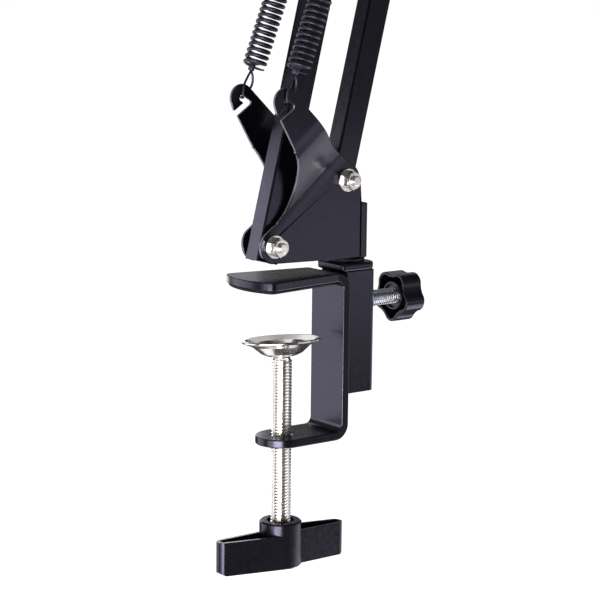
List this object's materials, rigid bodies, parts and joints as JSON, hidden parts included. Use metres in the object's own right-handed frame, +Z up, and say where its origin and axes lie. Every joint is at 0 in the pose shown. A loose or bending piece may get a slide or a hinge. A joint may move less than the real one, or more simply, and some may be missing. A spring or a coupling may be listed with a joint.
{
  "type": "microphone boom arm",
  "caption": "Spring-balanced boom arm with a screw desk clamp, swivel base, parallel-bar arms and a tilting threaded head for a microphone.",
  "frame": {"origin": "underside of the jaw pad, on the clamp screw's axis: the point that sits on the desk top", "axes": "+Z up, along the clamp screw; -X into the desk, from the clamp's back to its open side; +X towards the thumb knob; Y across the arm, along every pivot"},
  "size_m": [0.4316, 0.0456, 0.6524],
  "materials": {
    "clamp_paint": "semi-gloss black paint",
    "bracket_paint": "semi-gloss black paint on folded sheet",
    "bar_paint": "satin black paint on steel tube",
    "pad_rubber": "matt black rubber",
    "black_plastic": "satin moulded black",
    "nickel": "bright nickel plate",
    "zinc": "bright zinc plate",
    "brass": "turned",
    "black_steel": "blackened steel",
    "black_cast": "satin black on die-cast metal",
    "nylon": "dark nylon",
    "spring_black": "black-coated spring steel"
  },
  "bodies": {
    "clamp": {"clamp_frame": "clamp_paint", "jaw_pad": "pad_rubber", "holder_channel": "clamp_paint", "post_bushing": "black_plastic", "thrust_washer": "nylon"},
    "screw_carrier": {"pad_rivet": "nickel"},
    "screw": {"clamp_screw": "nickel", "t_handle": "black_plastic"},
    "pad": {"pressure_pad": "nickel"},
    "thumb_carrier": {"thumb_tip": "brass"},
    "thumb": {"thumb_screw": "nickel", "thumb_knob": "black_plastic"},
    "base": {"base_bracket": "bracket_paint", "swivel_post": "black_steel", "base_bolts": "zinc", "base_washers": "zinc", "base_nuts": "zinc", "base_spacers": "nylon"},
    "lower_front": {"lower_front_bar": "bar_paint", "lower_spring_pin": "zinc", "lower_pin_sleeves": "nylon"},
    "lower_rear": {"lower_rear_bar": "bar_paint"},
    "lower_coil": {"lower_springs": "spring_black"},
    "lower_eye": {"lower_spring_eyes": "spring_black"},
    "elbow": {"elbow_plate_left": "bracket_paint", "elbow_plate_right": "bracket_paint", "elbow_bolts": "zinc", "elbow_washers": "zinc", "elbow_nuts": "zinc", "elbow_spacers": "nylon"},
    "upper_top": {"upper_top_bar": "bar_paint", "upper_spring_pin": "zinc", "upper_pin_sleeves": "nylon"},
    "upper_bottom": {"upper_bottom_bar": "bar_paint"},
    "upper_coil": {"upper_springs": "spring_black"},
    "upper_eye": {"upper_spring_eyes": "spring_black"},
    "head": {"head_plate_left": "bracket_paint", "head_plate_right": "bracket_paint", "head_bolts": "zinc", "head_washers": "zinc", "head_nuts": "zinc", "head_spacers": "nylon", "tilt_bolt": "zinc"},
    "tilt_lock": {"tilt_knob": "black_plastic"},
    "tilt": {"tilt_block": "black_cast", "mic_stud": "zinc"}
  },
  "joints": [
    {"name": "clamp_screw_travel", "type": "slide", "parent": "clamp", "child": "screw_carrier", "axis": [0, 0, 1], "range_m": [-0.037, 0.023]},
    {"name": "clamp_screw_turn", "type": "hinge", "parent": "screw_carrier", "child": "screw", "pos_m": [0, 0, -0.1], "axis": [0, 0, 1], "range_deg": [-8886, 5526]},
    {"name": "pad_tilt", "type": "hinge", "parent": "screw_carrier", "child": "pad", "pos_m": [0, 0, -0.0326], "axis": [1, 0, 0], "range_deg": [0, 11]},
    {"name": "thumb_screw_travel", "type": "slide", "parent": "clamp", "child": "thumb_carrier", "axis": [1, 0, 0], "range_m": [0, 0.006]},
    {"name": "thumb_screw_turn", "type": "hinge", "parent": "thumb_carrier", "child": "thumb", "pos_m": [0.06, 0, -0.0108], "axis": [1, 0, 0], "range_deg": [0, 1734]},
    {"name": "base_swivel", "type": "hinge", "parent": "clamp", "child": "base", "pos_m": [0.0388, 0, 0], "axis": [0, 0, 1], "continuous": true},
    {"name": "lower_arm", "type": "hinge", "parent": "base", "child": "lower_front", "pos_m": [-0.0108, 0, 0.0206], "axis": [0, 1, 0], "range_deg": [-55, 0]},
    {"name": "lower_rear_follow", "type": "hinge", "parent": "base", "child": "lower_rear", "pos_m": [0.0323, 0, 0.0494], "axis": [0, 1, 0], "range_deg": [-55, 0]},
    {"name": "lower_spring_swing", "type": "hinge", "parent": "base", "child": "lower_coil", "pos_m": [-0.0121, 0, 0.0885], "axis": [0, 1, 0], "range_deg": [-83, 1]},
    {"name": "lower_spring_stretch", "type": "slide", "parent": "lower_coil", "child": "lower_eye", "axis": [0.3761, 0, 0.9266], "range_m": [-0.001, 0.0195], "deforming": ["lower_springs", "lower_spring_eyes"]},
    {"name": "elbow_level", "type": "hinge", "parent": "lower_front", "child": "elbow", "pos_m": [0.07097, 0, 0.34856], "axis": [0, 1, 0], "range_deg": [0, 55]},
    {"name": "upper_arm", "type": "hinge", "parent": "elbow", "child": "upper_top", "pos_m": [0.08097, 0, 0.42056], "axis": [0, 1, 0], "range_deg": [-52, 3]},
    {"name": "upper_bottom_follow", "type": "hinge", "parent": "elbow", "child": "upper_bottom", "pos_m": [0.07497, 0, 0.38456], "axis": [0, 1, 0], "range_deg": [-52, 3]},
    {"name": "upper_spring_swing", "type": "hinge", "parent": "elbow", "child": "upper_coil", "pos_m": [0.08097, 0, 0.48056], "axis": [0, 1, 0], "range_deg": [-47, 3]},
    {"name": "upper_spring_stretch", "type": "slide", "parent": "upper_coil", "child": "upper_eye", "axis": [-0.9983, 0, -0.0589], "range_m": [-0.0035, 0.0548], "deforming": ["upper_springs", "upper_spring_eyes"]},
    {"name": "head_level", "type": "hinge", "parent": "upper_top", "child": "head", "pos_m": [-0.24551, 0, 0.50804], "axis": [0, 1, 0], "range_deg": [-3, 52]},
    {"name": "head_tilt", "type": "hinge", "parent": "head", "child": "tilt", "pos_m": [-0.27351, 0, 0.48004], "axis": [0, 1, 0], "range_deg": [-75, 45]},
    {"name": "tilt_lock_turn", "type": "hinge", "parent": "head", "child": "tilt_lock", "pos_m": [-0.27351, -0.014, 0.48004], "axis": [0, 1, 0], "range_deg": [-180, 180]}
  ],
  "couplings": [
    {"joint": "clamp_screw_turn", "follows": "clamp_screw_travel", "rad_per_m": 4188.8},
    {"joint": "thumb_screw_turn", "follows": "thumb_screw_travel", "rad_per_m": 5026.5},
    {"joint": "lower_rear_follow", "follows": "lower_arm", "ratio": 1},
    {"joint": "elbow_level", "follows": "lower_arm", "ratio": -1},
    {"joint": "lower_spring_swing", "follows": "lower_arm", "ratio": 1.4948},
    {"joint": "lower_spring_stretch", "follows": "lower_arm", "m_per_rad": -0.019463},
    {"joint": "upper_bottom_follow", "follows": "upper_arm", "ratio": 1},
    {"joint": "head_level", "follows": "upper_arm", "ratio": -1},
    {"joint": "upper_spring_swing", "follows": "upper_arm", "ratio": 0.8898},
    {"joint": "upper_spring_stretch", "follows": "upper_arm", "m_per_rad": -0.059903}
  ]
}
